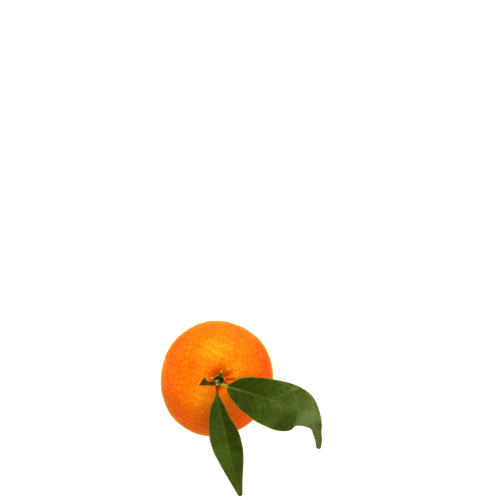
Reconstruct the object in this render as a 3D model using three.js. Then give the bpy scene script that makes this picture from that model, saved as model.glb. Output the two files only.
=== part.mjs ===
// A mandarin as picked: the whole fruit, its star calyx and cut stem, two leaves and what is left of a
// torn third. Millimetres, +Z up. The origin is the middle of the flat spot that the fruit stands on.
import * as THREE from "three";

// The fruit
const FRUIT_RADIUS = 29.8; // mean radius at the widest level
const CROWN_RISE = 25.6; // from the widest level to where the crown would be without its hollow
const BASE_DROP = 24; // from the widest level to where the base would be without its flat spot
const FRUIT_FULLNESS = 2.3; // 2 gives an ellipse, more gives fuller shoulders
const FLAT_SPOT_RADIUS = 7.5;
const OUTLINE_WAVES = [
  // what makes the outline less than round: waves round it, their share of the radius, and where one peaks
  { count: 2, share: 0.021, peak: THREE.MathUtils.degToRad(60) },
  { count: 3, share: 0.01, peak: THREE.MathUtils.degToRad(8) },
];
const CROWN = new THREE.Vector2(1.7, 0.5); // the middle of the hollow round the calyx
const HOLLOW_DEPTH = 4.2;
const HOLLOW_WIDTH = 6.2;
const FURROWS = 9; // the folds that run out of the hollow
const FURROW_DEPTH = 0.75;
const FURROW_REACH = 5.2; // how far from the crown's middle they are deepest
const FURROW_SPREAD = 4.6;
const FURROW_START = 2.5; // within this of the crown's middle they fade out
const FURROW_SWAYS = [
  // what spaces the furrows unevenly: waves round the crown, in radians of a furrow's turn
  { count: 2, size: 1.2, shift: 0.6 },
  { count: 3, size: 0.8, shift: 0 },
];
const FURROW_STRENGTH = 0.6; // the mean one, as a share of the strongest
const FURROW_STRONGEST = 0.2; // the direction in which they are strongest, in radians
const FRUIT_SIDES = 72;
const CROWN_RINGS = 24;
const BASE_RINGS = 14;

// The calyx, a star of sepals that lies in the hollow
const SEPALS = [
  // anticlockwise: which way each points, in degrees, and how far from the crown's middle its tip is
  { angle: 2, reach: 3.7 },
  { angle: 75, reach: 5.2 },
  { angle: 167, reach: 4.3 },
  { angle: 238, reach: 3.7 },
  { angle: 308, reach: 3.4 },
];
const CALYX_NOTCH_RADIUS = 2.4; // from the crown's middle to the edge between two sepals
const CALYX_THICKNESS = 0.9;
const SEPAL_TIP_THICKNESS = 0.6;
const SEPAL_LIFT = 0.6; // how far the tips stand off the rind
const BUTTON_RADIUS = 2; // the level middle that the stem stands on
const BUTTON_RISE = 0.35;
const CALYX_FOOTING = 0.4; // how far round each point the calyx is kept clear of the rind
const CALYX_SIDES = 60;
const CALYX_RINGS = 6;

// The stem, cut off just above the leaves
const STEM_LENGTH = 6;
const STEM_RADIUS = 1.3;
const STEM_FOOT_FLARE = 0.5;
const STEM_FLARE_HEIGHT = 0.25; // as a share of the length, like the next two heights
const STEM_LEAN = new THREE.Vector2(-1, -1.1); // from its foot to its cut end
const STEM_KNOT = 0.6; // how far the knot that bears the leaves stands out
const STEM_KNOT_HEIGHT = 0.7;
const STEM_KNOT_SPREAD = 0.2;
const STEM_SIDES = 20;
const STEM_RINGS = 12;

// Where two pieces meet, this much is left free between them
const FIT_GAP = 0.3;

// The leaves
const BLADE_THICKNESS = 0.65;
const RIB_DEPTH = 0.55; // the midrib stands out below the blade
const RIB_HALF_WIDTH = 0.8;
const RIB_TAPER = 0.8; // the share of its depth that the midrib has lost at the tip
const PETIOLE_THICKNESS = 1.25;
const PETIOLE_ROUNDNESS = 0.8; // 1 gives a round section, 0 a square one
const BLADE_START = 0.4; // how many ribs from the root the petiole begins to turn into the blade
const BLADE_FULL = 1.8; // and where it is the blade alone
const TIP_RINGS = 4; // steps round the tip
const TIP_END_SHARE = 0.25; // the tip ends this wide, as a share of where its rounding starts

const UP = new THREE.Vector3(0, 0, 1);

/** A bell curve of x: 1 at 0, and about a third at the given width. */
const bell = (x, width) => Math.exp(-((x / width) ** 2));

/** A smooth step from 0 at low to 1 at high. */
const smooth = (x, low, high) => THREE.MathUtils.smoothstep(x, low, high);

/** How far the shell has come down from its pole, 0 to 1, at this share of its radius. */
function shellFall(share) {
  return 1 - (1 - Math.min(share, 1) ** FRUIT_FULLNESS) ** (1 / FRUIT_FULLNESS);
}

const FLAT_FALL = shellFall(FLAT_SPOT_RADIUS / FRUIT_RADIUS);
const WIDEST_HEIGHT = BASE_DROP * (1 - FLAT_FALL);

/** The radius of the fruit's outline in this direction, as a share of the mean one. */
function outlineShare(angle) {
  const rise = (wave) => wave.share * Math.cos(wave.count * (angle - wave.peak));
  return OUTLINE_WAVES.reduce((sum, wave) => sum + rise(wave), 1);
}

/** How far the crown is sunk at a point: the hollow round the calyx, and the furrows that run out of it. */
function crownSink(x, y) {
  const distance = Math.hypot(x - CROWN.x, y - CROWN.y);
  const angle = Math.atan2(y - CROWN.y, x - CROWN.x);
  const sway = (wave) => wave.size * Math.sin(wave.count * angle + wave.shift);
  const turn = FURROW_SWAYS.reduce((sum, wave) => sum + sway(wave), FURROWS * angle);
  const fold = (0.5 + 0.5 * Math.cos(turn)) ** 1.5;
  const strength = FURROW_STRENGTH + (1 - FURROW_STRENGTH) * Math.cos(angle - FURROW_STRONGEST);
  const reach = bell(distance - FURROW_REACH, FURROW_SPREAD) * smooth(distance, 0, FURROW_START);
  return HOLLOW_DEPTH * bell(distance, HOLLOW_WIDTH) + FURROW_DEPTH * strength * fold * reach;
}

/** The height of the fruit's upper surface at a point. */
function crownHeight(x, y) {
  const share = Math.hypot(x, y) / (FRUIT_RADIUS * outlineShare(Math.atan2(y, x)));
  return WIDEST_HEIGHT + CROWN_RISE * (1 - shellFall(share)) - crownSink(x, y);
}

/** The fruit: a turned profile, then its uneven outline, the hollow and the furrows. */
function fruitGeometry() {
  const profile = [new THREE.Vector2(0, 0), new THREE.Vector2(FLAT_SPOT_RADIUS / 2, 0)];
  const flatShare = FLAT_SPOT_RADIUS / FRUIT_RADIUS;
  const flatTurn = Math.asin(flatShare);
  for (let i = 0; i <= BASE_RINGS; i++) {
    const share = Math.sin(flatTurn + (Math.PI / 2 - flatTurn) * (i / BASE_RINGS));
    profile.push(new THREE.Vector2(FRUIT_RADIUS * share, BASE_DROP * (shellFall(share) - FLAT_FALL)));
  }
  for (let i = CROWN_RINGS - 1; i >= 0; i--) {
    const share = Math.sin((Math.PI / 2) * (i / CROWN_RINGS));
    const rise = CROWN_RISE * (1 - shellFall(share));
    profile.push(new THREE.Vector2(FRUIT_RADIUS * share, WIDEST_HEIGHT + rise));
  }
  const geometry = new THREE.LatheGeometry(profile, FRUIT_SIDES).rotateX(Math.PI / 2);
  const place = geometry.getAttribute("position");
  for (let i = 0; i < place.count; i++) {
    const share = outlineShare(Math.atan2(place.getY(i), place.getX(i)));
    const x = place.getX(i) * share;
    const y = place.getY(i) * share;
    const sink = place.getZ(i) > WIDEST_HEIGHT ? crownSink(x, y) : 0;
    place.setXYZ(i, x, y, place.getZ(i) - sink);
  }
  return geometry;
}

/** A closed body through rings of as many points each, anticlockwise seen from the end that they lead to. */
function loft(rings) {
  const sides = rings[0].length;
  const points = rings.flat();
  const faces = [];
  for (let r = 0; r + 1 < rings.length; r++) {
    for (let s = 0; s < sides; s++) {
      const next = (s + 1) % sides;
      const [a, b] = [r * sides + s, r * sides + next];
      const [c, d] = [a + sides, b + sides];
      faces.push(a, b, d, a, d, c);
    }
  }
  const middleOf = (ring) => ring.reduce((sum, p) => sum.add(p), new THREE.Vector3()).divideScalar(sides);
  const first = points.push(middleOf(rings[0])) - 1;
  const last = points.push(middleOf(rings.at(-1))) - 1;
  const lastRing = (rings.length - 1) * sides;
  for (let s = 0; s < sides; s++) {
    const next = (s + 1) % sides;
    faces.push(first, next, s, last, lastRing + s, lastRing + next);
  }
  return new THREE.BufferGeometry().setFromPoints(points).setIndex(faces);
}

/** How far the star reaches in this direction, and how near that is to the middle of a sepal, from 0 to 1. */
function starReach(angle) {
  const turn = THREE.MathUtils.euclideanModulo(THREE.MathUtils.radToDeg(angle), 360);
  const [first, last] = [SEPALS[0], SEPALS.at(-1)];
  const before = { ...last, angle: last.angle - 360 };
  const round = [before, ...SEPALS, { ...first, angle: first.angle + 360 }];
  const after = round.findIndex((sepal) => sepal.angle >= turn);
  const [left, right] = [round[after - 1], round[after]];
  const share = (turn - left.angle) / (right.angle - left.angle);
  const ridge = Math.abs(2 * share - 1);
  const { reach } = share < 0.5 ? left : right;
  return { reach: CALYX_NOTCH_RADIUS + (reach - CALYX_NOTCH_RADIUS) * ridge ** 1.5, ridge };
}

/** The calyx: rings from its middle to the star's edge over the rind, then back underneath. */
function calyxGeometry() {
  const ring = (share, top) => {
    const points = [];
    for (let s = 0; s < CALYX_SIDES; s++) {
      const angle = (2 * Math.PI * s) / CALYX_SIDES;
      const { reach, ridge } = starReach(angle);
      const x = CROWN.x + Math.cos(angle) * reach * share;
      const y = CROWN.y + Math.sin(angle) * reach * share;
      const tip = ridge * share ** 2;
      const thickness = THREE.MathUtils.lerp(CALYX_THICKNESS, SEPAL_TIP_THICKNESS, share ** 2);
      const low = rindClear(x, y) + SEPAL_LIFT * tip ** 2;
      const slope = smooth(reach * share, BUTTON_RADIUS, 1.5 * BUTTON_RADIUS);
      const high = THREE.MathUtils.lerp(BUTTON_TOP, low + thickness, slope);
      points.push(new THREE.Vector3(x, y, top ? high : low));
    }
    return points;
  };
  const rings = [];
  for (let i = 1; i <= CALYX_RINGS; i++) rings.push(ring(i / CALYX_RINGS, false));
  for (let i = CALYX_RINGS; i >= 1; i--) rings.push(ring(i / CALYX_RINGS, true));
  return loft(rings);
}

/** A height that clears the rind at this point and close round it. */
function rindClear(x, y) {
  const heights = [crownHeight(x, y)];
  for (let k = 0; k < 6; k++) {
    const angle = (k * Math.PI) / 3;
    heights.push(crownHeight(x + CALYX_FOOTING * Math.cos(angle), y + CALYX_FOOTING * Math.sin(angle)));
  }
  return Math.max(...heights) + FIT_GAP;
}

const BUTTON_TOP = rindClear(CROWN.x, CROWN.y) + CALYX_THICKNESS + BUTTON_RISE;

/** The stem: a short leaning stalk with a knot on the side that bears the leaves. */
function stemGeometry() {
  const foot = new THREE.Vector3(CROWN.x, CROWN.y, BUTTON_TOP + FIT_GAP);
  const lean = (share, rise) =>
    foot.clone().add(new THREE.Vector3(STEM_LEAN.x * share, STEM_LEAN.y * share, rise));
  const line = new THREE.CatmullRomCurve3([foot, lean(0.75, STEM_LENGTH / 2), lean(1, STEM_LENGTH)]);
  const rings = [];
  for (let r = 0; r <= STEM_RINGS; r++) {
    const share = r / STEM_RINGS;
    const middle = line.getPoint(share);
    const radius = STEM_RADIUS + STEM_FOOT_FLARE * bell(share, STEM_FLARE_HEIGHT);
    const points = [];
    for (let s = 0; s < STEM_SIDES; s++) {
      const angle = (2 * Math.PI * s) / STEM_SIDES;
      const facing = Math.max(0, Math.cos(angle + Math.PI / 2));
      const out = radius + STEM_KNOT * facing * bell(share - STEM_KNOT_HEIGHT, STEM_KNOT_SPREAD);
      const outward = new THREE.Vector3(out * Math.cos(angle), out * Math.sin(angle), 0);
      points.push(outward.add(middle));
    }
    rings.push(points);
  }
  return loft(rings);
}

/**
 * A leaf, with its petiole. Each rib is a place along the midrib: where it is, how far the blade reaches to
 * its left and right (looking along the leaf from above), and in degrees how far each half folds up, how far
 * the right side rolls down, and how far the rib is slanted, with its left end nearer the root. The blade
 * starts at rib 1. A wave lifts the margin at one place, given as how many ribs from the root it is; side 1
 * is the right, and bend tells how the lift grows toward the margin: 1 evenly, more mostly near it.
 */
function leafGeometry({ ribs, steps, columns, tipLength, waves = [] }) {
  const line = ribs.map((rib) => new THREE.Vector3(...rib.at));
  const midrib = new THREE.CatmullRomCurve3(line, false, "catmullrom", 0.5);
  const length = midrib.getLength();
  const between = (key, rank) => {
    const i = Math.min(Math.floor(rank), ribs.length - 2);
    const value = (k) => ribs[THREE.MathUtils.clamp(k, 0, ribs.length - 1)][key] ?? 0;
    return catmullRom(rank - i, value(i - 1), value(i), value(i + 1), value(i + 2));
  };
  const shares = [];
  const tipShare = tipLength / length;
  for (let r = 0; r <= steps; r++) shares.push((r / steps) * (1 - tipShare));
  for (let r = 1; r <= TIP_RINGS; r++) {
    const turn = Math.sin((Math.PI / 2) * (r / TIP_RINGS));
    shares.push(1 - tipShare * (1 - turn));
  }
  const rings = shares.map((along) => {
    const turn = midrib.getUtoTmapping(along);
    const rank = turn * (ribs.length - 1);
    const middle = midrib.getPoint(turn);
    const heading = midrib.getTangent(turn);
    const right = new THREE.Vector3().crossVectors(heading, UP).normalize();
    right.applyAxisAngle(heading, THREE.MathUtils.degToRad(between("roll", rank)));
    const normal = new THREE.Vector3().crossVectors(right, heading).normalize();
    right.applyAxisAngle(normal, THREE.MathUtils.degToRad(between("slant", rank)));
    const fold = Math.tan(THREE.MathUtils.degToRad(between("fold", rank)));
    const isBlade = smooth(rank, BLADE_START, BLADE_FULL);
    const past = tipLength > 0 ? Math.max(0, 1 - (1 - along) / tipShare) : 0;
    const narrow = Math.max(TIP_END_SHARE, Math.sqrt(1 - past ** 2));
    const upper = [];
    const lower = [];
    for (let c = 0; c <= columns; c++) {
      const across = (2 * c) / columns - 1;
      const side = Math.sign(across);
      const share = Math.abs(across);
      const reach = share * between(side < 0 ? "left" : "right", rank) * narrow;
      const rise = (wave) => wave.lift * bell(rank - wave.rank, wave.spread) * share ** wave.bend;
      const swell = waves.reduce((sum, wave) => sum + (wave.side === side ? rise(wave) : 0), 0);
      const at = middle.clone().addScaledVector(right, side * reach);
      at.addScaledVector(normal, fold * reach + swell);
      const rib = RIB_DEPTH * bell(reach, RIB_HALF_WIDTH) * (1 - RIB_TAPER * along);
      const round = (PETIOLE_THICKNESS / 2) * Math.sqrt(1 - PETIOLE_ROUNDNESS * across ** 2);
      const above = THREE.MathUtils.lerp(round, BLADE_THICKNESS / 2, isBlade);
      const below = THREE.MathUtils.lerp(round, BLADE_THICKNESS / 2 + rib, isBlade);
      upper.push(at.clone().addScaledVector(normal, above));
      lower.push(at.addScaledVector(normal, -below));
    }
    return [upper, lower];
  });
  return bladeBody(rings);
}

/** The value at t, from 0 to 1, between b and c on a smooth line through a, b, c and d. */
function catmullRom(t, a, b, c, d) {
  const bend = (2 * a - 5 * b + 4 * c - d) * t ** 2 + (3 * (b - c) + d - a) * t ** 3;
  return b + ((c - a) * t + bend) / 2;
}

/** The closed body between two faces of one grid, split into triangles alike on both. */
function bladeBody(rings) {
  const columns = rings[0][0].length;
  const points = rings.flat(2);
  const index = (ring, face, column) => (2 * ring + face) * columns + column;
  const faces = [];
  const quad = (a, b, c, d) => faces.push(a, b, c, a, c, d);
  for (let r = 0; r + 1 < rings.length; r++) {
    for (let c = 0; c + 1 < columns; c++) {
      const corners = (face) => [
        index(r, face, c),
        index(r + 1, face, c),
        index(r + 1, face, c + 1),
        index(r, face, c + 1),
      ];
      const [a, b, d, e] = corners(0);
      faces.push(a, d, b, a, e, d);
      const [f, g, h, i] = corners(1);
      faces.push(f, g, h, f, h, i);
    }
    const edge = columns - 1;
    quad(index(r, 0, 0), index(r + 1, 0, 0), index(r + 1, 1, 0), index(r, 1, 0));
    quad(index(r, 0, edge), index(r, 1, edge), index(r + 1, 1, edge), index(r + 1, 0, edge));
  }
  const end = rings.length - 1;
  for (let c = 0; c + 1 < columns; c++) {
    quad(index(0, 0, c), index(0, 1, c), index(0, 1, c + 1), index(0, 0, c + 1));
    quad(index(end, 0, c), index(end, 0, c + 1), index(end, 1, c + 1), index(end, 1, c));
  }
  return new THREE.BufferGeometry().setFromPoints(points).setIndex(faces);
}

const RIGHT_LEAF = {
  steps: 34,
  columns: 12,
  tipLength: 1.2,
  ribs: [
    { at: [2.6, -1.9, 52], left: 0.7, right: 0.7 },
    { at: [5.6, -2.2, 53], left: 0.7, right: 0.75, fold: 8 },
    { at: [7.7, -2.8, 53.4], left: 2.6, right: 4.2, fold: 12, roll: -3 },
    { at: [12.7, -4.2, 53.8], left: 6.7, right: 8.3, fold: 9, roll: -5 },
    { at: [18.9, -6.3, 53.8], left: 9, right: 11.2, fold: 6, roll: -7 },
    { at: [24.9, -8.3, 53], left: 10.2, right: 13.2, fold: 3, roll: -8 },
    { at: [31.1, -10.3, 51.4], left: 11, right: 14, fold: 0, roll: -8 },
    { at: [36.4, -12.7, 49.2], left: 11.7, right: 13.6, fold: -2, roll: -7 },
    { at: [41.7, -15.5, 46.2], left: 11.3, right: 10.8, fold: -3, roll: -5 },
    { at: [45.6, -18.5, 43], left: 9.4, right: 6.2, fold: -3, roll: -3 },
    { at: [50, -23.1, 38.5], left: 5, right: 2.8, fold: 4 },
    { at: [52.4, -27.4, 34.5], left: 1.9, right: 2.7, fold: 10 },
    { at: [53.2, -31.4, 30.5], left: 1.5, right: 2.1, fold: 12 },
    { at: [52.9, -36.2, 26.5], left: 1.1, right: 1.2, fold: 8 },
  ],
  waves: [
    { side: 1, rank: 7.95, spread: 0.9, lift: 2.8, bend: 1 },
    { side: 1, rank: 8.7, spread: 0.5, lift: -0.5, bend: 1 },
    { side: -1, rank: 5.4, spread: 1.4, lift: -0.8, bend: 2 },
    { side: -1, rank: 8.6, spread: 0.9, lift: -0.6, bend: 2 },
  ],
};

const FRONT_LEAF = {
  steps: 32,
  columns: 10,
  tipLength: 1.6,
  ribs: [
    { at: [0.85, -2.95, 50.6], left: 0.6, right: 0.65 },
    { at: [0.9, -6.6, 51.4], left: 0.65, right: 0.7, fold: 14 },
    { at: [1.3, -9.8, 51.5], left: 1.9, right: 2.8, fold: 16 },
    { at: [1.9, -13, 51.2], left: 3, right: 5.1, fold: 17 },
    { at: [3.3, -19, 49.8], left: 4.3, right: 7.4, fold: 17 },
    { at: [5.1, -26.3, 46.9], left: 6.6, right: 8.7, fold: 16 },
    { at: [6.5, -34.1, 42.4], left: 7.2, right: 7.9, fold: 15 },
    { at: [7.8, -40.4, 38], left: 6.3, right: 6.4, fold: 15 },
    { at: [9.1, -46, 33.7], left: 4.9, right: 5.1, fold: 13 },
    { at: [10.6, -53, 28], left: 3.1, right: 3.2, fold: 11 },
    { at: [12.5, -61.2, 21.5], left: 1.1, right: 1, fold: 8 },
  ],
  waves: [
    { side: 1, rank: 5.3, spread: 1.2, lift: 0.7, bend: 2 },
    { side: -1, rank: 4.2, spread: 1, lift: -0.5, bend: 2 },
  ],
};

const TORN_LEAF = {
  steps: 14,
  columns: 8,
  tipLength: 0,
  ribs: [
    { at: [-0.75, -1.25, 51.4], left: 0.9, right: 0.9 },
    { at: [-2.4, -1.15, 51.9], left: 1.05, right: 1.1, fold: 6 },
    { at: [-3.9, -1.2, 52.2], left: 1, right: 1.35, fold: 8, slant: -10 },
    { at: [-5.3, -1.25, 52.4], left: 0.95, right: 2.3, fold: 8, slant: -22 },
    { at: [-6.6, -1.3, 52.5], left: 0.95, right: 4.2, fold: 8, slant: -28 },
    { at: [-7.9, -1.25, 52.5], left: 1, right: 4.9, fold: 8, slant: -31 },
  ],
};

const part = new THREE.Group();

/** Adds one piece, with its colour and how rough it is. */
function addPiece(name, geometry, color, roughness) {
  const piece = new THREE.Mesh(geometry, new THREE.MeshStandardMaterial({ color, roughness, metalness: 0 }));
  piece.name = name;
  part.add(piece);
}

addPiece("fruit", fruitGeometry(), 0xfa8c10, 0.45);
addPiece("calyx", calyxGeometry(), 0x6e7028, 0.7);
addPiece("stem", stemGeometry(), 0x7c8230, 0.7);
addPiece("leaf_right", leafGeometry(RIGHT_LEAF), 0x3d5210, 0.4);
addPiece("leaf_front", leafGeometry(FRONT_LEAF), 0x3f5612, 0.4);
addPiece("leaf_torn", leafGeometry(TORN_LEAF), 0x4d4a18, 0.5);

export default part;
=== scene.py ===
"""A mandarin as picked, with its calyx, its cut stem, two leaves and the stub of a third.

Every piece is worked out in millimetres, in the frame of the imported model, and becomes metres when its mesh
is made.
"""

import logging
import math
from dataclasses import dataclass, field
from enum import Enum
from typing import Any, Sequence

import bmesh
import bpy
import numpy as np
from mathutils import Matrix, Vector, kdtree


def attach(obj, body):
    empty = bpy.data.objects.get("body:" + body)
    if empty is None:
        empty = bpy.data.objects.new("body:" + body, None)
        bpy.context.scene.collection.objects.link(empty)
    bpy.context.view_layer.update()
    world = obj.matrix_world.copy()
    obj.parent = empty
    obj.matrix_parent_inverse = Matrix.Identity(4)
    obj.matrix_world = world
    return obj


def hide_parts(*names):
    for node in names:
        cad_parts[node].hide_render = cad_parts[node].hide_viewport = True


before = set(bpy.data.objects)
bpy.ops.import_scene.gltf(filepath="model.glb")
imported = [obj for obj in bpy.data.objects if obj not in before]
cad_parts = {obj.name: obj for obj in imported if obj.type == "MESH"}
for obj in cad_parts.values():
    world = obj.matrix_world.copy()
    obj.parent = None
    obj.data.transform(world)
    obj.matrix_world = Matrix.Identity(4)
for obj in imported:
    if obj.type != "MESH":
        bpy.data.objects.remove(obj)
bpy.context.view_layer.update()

Array = np.ndarray
Pair = tuple[float, float]
Triple = tuple[float, float, float]
Rgb = Triple
Object = bpy.types.Object
Material = bpy.types.Material
Socket = bpy.types.NodeSocket

MM = 0.001
BODY = "root"
WHITE: Rgb = (1.0, 1.0, 1.0)
BLACK: Rgb = (0.0, 0.0, 0.0)
LOG = logging.getLogger("mandarin")


# Helpers for numbers


def bell(x: Array | float, width: float) -> Array:
    """Return a bell curve of x: 1 at 0, and about a third at the given width."""
    return np.exp(-((np.asarray(x) / width) ** 2))


def smooth(x: Array | float, low: float, high: float) -> Array:
    """Return a smooth step of x, from 0 at low to 1 at high."""
    t = np.clip((np.asarray(x) - low) / (high - low), 0.0, 1.0)
    return t * t * (3.0 - 2.0 * t)


def mix(a: Array | float, b: Array | float, share: Array | float) -> Array:
    """Return what lies this share of the way from a to b."""
    return np.asarray(a) * (1.0 - share) + np.asarray(b) * share


def unit(vectors: Array) -> Array:
    """Return the vectors, each made one long."""
    return vectors / np.linalg.norm(vectors, axis=-1, keepdims=True)


def turned(vectors: Array, axes: Array, degrees: Array) -> Array:
    """Turn each vector by the right-hand rule about a unit axis that is at right angles to it."""
    angle = np.radians(degrees)[..., None]
    return vectors * np.cos(angle) + np.cross(axes, vectors) * np.sin(angle)


def round_axis(angle: Array, radius: Array | float, height: Array) -> Array:
    """Return the points at these angles, distances and heights round the upright axis."""
    return np.stack([np.cos(angle) * radius, np.sin(angle) * radius, height], axis=-1)


def away(points: Array, place: Pair) -> Array:
    """Return how far each point is from the upright line through a place."""
    return np.hypot(points[..., 0] - place[0], points[..., 1] - place[1])


@dataclass(frozen=True)
class Unevenness:
    """A smooth random height over space, made of a few plane waves of nearly one length."""

    seed: int
    wavelength: float
    height: float = 1.0
    waves: int = 24
    length_range: Pair = (0.7, 1.4)
    deviation: float = 0.6

    def at(self, points: Array) -> Array:
        """Return the height at each point.

        Args:
            points: Places in millimetres.

        Returns:
            Heights that average zero, mostly within the full height above or below it.
        """
        rng = np.random.default_rng(self.seed)
        directions = unit(rng.normal(size=(self.waves, 3)))
        pitch = 2.0 * math.pi / (self.wavelength * rng.uniform(*self.length_range, self.waves))
        phases = rng.uniform(0.0, 2.0 * math.pi, self.waves)
        places = points.reshape(-1, 3)
        total = np.zeros(len(places))
        for direction, rate, phase in zip(directions, pitch, phases):
            total += np.sin(places @ direction * rate + phase)
        total *= math.sqrt(2.0 / self.waves) * self.deviation * self.height
        return total.reshape(points.shape[:-1])


# Helpers for meshes


def make_mesh(name: str, points: Array, faces: Sequence[Sequence[int]], masks: dict[str, Array]) -> Object:
    """Make a smooth mesh object.

    Args:
        name: The piece's name.
        points: Its points in millimetres, in rows, or in a grid whose rows follow one another.
        faces: The point numbers of each face, anticlockwise seen from outside.
        masks: Values for each point, by name, that its material reads.

    Returns:
        The new object, in the scene.
    """
    mesh = bpy.data.meshes.new(name)
    mesh.from_pydata((points * MM).reshape(-1, 3).tolist(), [], [tuple(face) for face in faces])
    for label, values in masks.items():
        attribute = mesh.attributes.new(label, "FLOAT", "POINT")
        attribute.data.foreach_set("value", np.ravel(values).astype(np.float32))
    mesh.shade_smooth()
    mesh.update()
    piece = bpy.data.objects.new(name, mesh)
    bpy.context.scene.collection.objects.link(piece)
    return piece


def point_normals(points: Array, faces: Array) -> Array:
    """Return the outward normal at each point of a mesh of four-sided faces.

    Args:
        points: The mesh's points, one a row.
        faces: Four point numbers a row.

    Returns:
        Unit normals, one for each point.
    """
    across = points[faces[:, 2]] - points[faces[:, 0]]
    other = points[faces[:, 3]] - points[faces[:, 1]]
    normals = np.zeros_like(points)
    for corner in range(4):
        np.add.at(normals, faces[:, corner], np.cross(across, other))
    return unit(normals)


def grid_faces(numbers: Array) -> Array:
    """Return the faces of a grid of point numbers, anticlockwise if its rows run up and its columns right."""
    corners = [numbers[:-1, :-1], numbers[:-1, 1:], numbers[1:, 1:], numbers[1:, :-1]]
    return np.stack(corners, axis=-1).reshape(-1, 4)


def tube_faces(rings: int, sides: int) -> Array:
    """Return the faces between closed rings, facing out if they run anticlockwise seen from the last."""
    numbers = np.arange(rings * sides).reshape(rings, sides)
    return grid_faces(np.concatenate([numbers, numbers[:, :1]], axis=1))


def capped_tube_faces(rings: int, sides: int) -> list[Sequence[int]]:
    """Return the faces of such a tube with one face across each end."""
    ends = [range(start, start + sides) for start in (0, (rings - 1) * sides)]
    return [*tube_faces(rings, sides), ends[0][::-1], ends[1]]


def looped(above: Array, below: Array) -> Array:
    """Join each row above with the one below into a ring, where both have the same two ends."""
    return np.concatenate([above, below[:, -2:0:-1]], axis=1)


def finish_piece(piece: Object, node: str, material: Material) -> Object:
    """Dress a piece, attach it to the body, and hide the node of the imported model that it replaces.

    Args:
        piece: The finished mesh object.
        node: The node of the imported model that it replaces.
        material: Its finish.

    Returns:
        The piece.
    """
    piece.data.materials.append(material)
    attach(piece, BODY)
    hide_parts(node)
    LOG.info("%s: %d points, %d faces", piece.name, len(piece.data.vertices), len(piece.data.polygons))
    return piece


# Helpers for finishes


class CellDistance(Enum):
    """What the distance in a pattern of cells is taken to."""

    MIDDLE = "F1"
    EDGE = "DISTANCE_TO_EDGE"


@dataclass(frozen=True)
class Grain:
    """A noise: how large its lumps are in millimetres, and how much it changes what it is added to.

    Detail is how many finer layers it has, and stretch is how many times as fine it is along X, Y and Z.
    """

    size: float
    share: float = 1.0
    detail: float = 2.0
    stretch: Triple = (1.0, 1.0, 1.0)


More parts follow.
